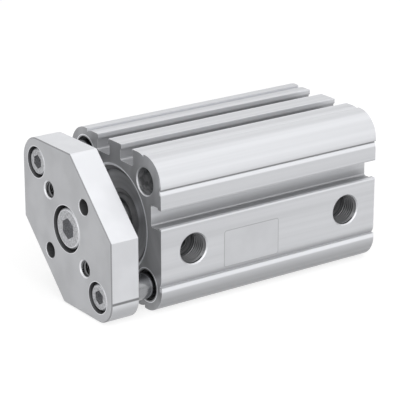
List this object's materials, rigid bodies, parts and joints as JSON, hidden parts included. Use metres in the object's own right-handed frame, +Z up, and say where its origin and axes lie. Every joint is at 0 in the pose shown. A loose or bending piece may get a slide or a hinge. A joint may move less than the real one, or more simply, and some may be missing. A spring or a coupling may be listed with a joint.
{
  "type": "guided compact pneumatic cylinder",
  "caption": "Guided compact pneumatic cylinder with a square slotted aluminium body, a front plate on a piston rod and two guide rods, and two side air ports.",
  "frame": {"origin": "centre of the four threaded holes in the rear end face, on the bore's axis", "axes": "+X along the bore, the way the rod comes out; +Y out of the side with the air ports; +Z up"},
  "size_m": [0.102, 0.05, 0.05],
  "materials": {
    "body_anodised": "clear anodised, fine lines along the extrusion",
    "plate_anodised": "clear anodised, fine satin",
    "cover_aluminium": "turned, dull",
    "piston_aluminium": "turned",
    "rod_steel": "hard chromed and ground",
    "screw_steel": "zinc plated, satin",
    "spring_steel": "phosphated, smooth",
    "bush_bronze": "sintered bronze",
    "seal_rubber": "matt black",
    "magnet_ferrite": "plastic-bonded ferrite",
    "wear_ring_plastic": "filled acetal"
  },
  "bodies": {
    "cylinder_body": {"profile_body": "body_anodised", "front_cover": "cover_aluminium", "rear_cover": "cover_aluminium", "front_retaining_ring": "spring_steel", "rear_retaining_ring": "spring_steel", "front_cover_seal": "seal_rubber", "rear_cover_seal": "seal_rubber", "front_bumper": "seal_rubber", "rear_bumper": "seal_rubber", "rod_bush": "bush_bronze", "rod_seal": "seal_rubber", "guide_bush_upper": "bush_bronze", "guide_bush_lower": "bush_bronze", "guide_wiper_upper": "seal_rubber", "guide_wiper_lower": "seal_rubber"},
    "rod_and_plate": {"piston_rod": "rod_steel", "spigot_seal": "seal_rubber", "piston_front_half": "piston_aluminium", "piston_rear_half": "piston_aluminium", "piston_magnet": "magnet_ferrite", "piston_wear_ring": "wear_ring_plastic", "piston_seal_front": "seal_rubber", "piston_seal_rear": "seal_rubber", "piston_screw": "screw_steel", "front_plate": "plate_anodised", "plate_centre_screw": "screw_steel", "guide_rod_upper": "rod_steel", "guide_rod_lower": "rod_steel", "guide_screw_upper": "screw_steel", "guide_screw_lower": "screw_steel"}
  },
  "joints": [
    {"name": "rod_slide", "type": "slide", "parent": "cylinder_body", "child": "rod_and_plate", "axis": [1, 0, 0], "range_m": [0, 0.04]}
  ]
}
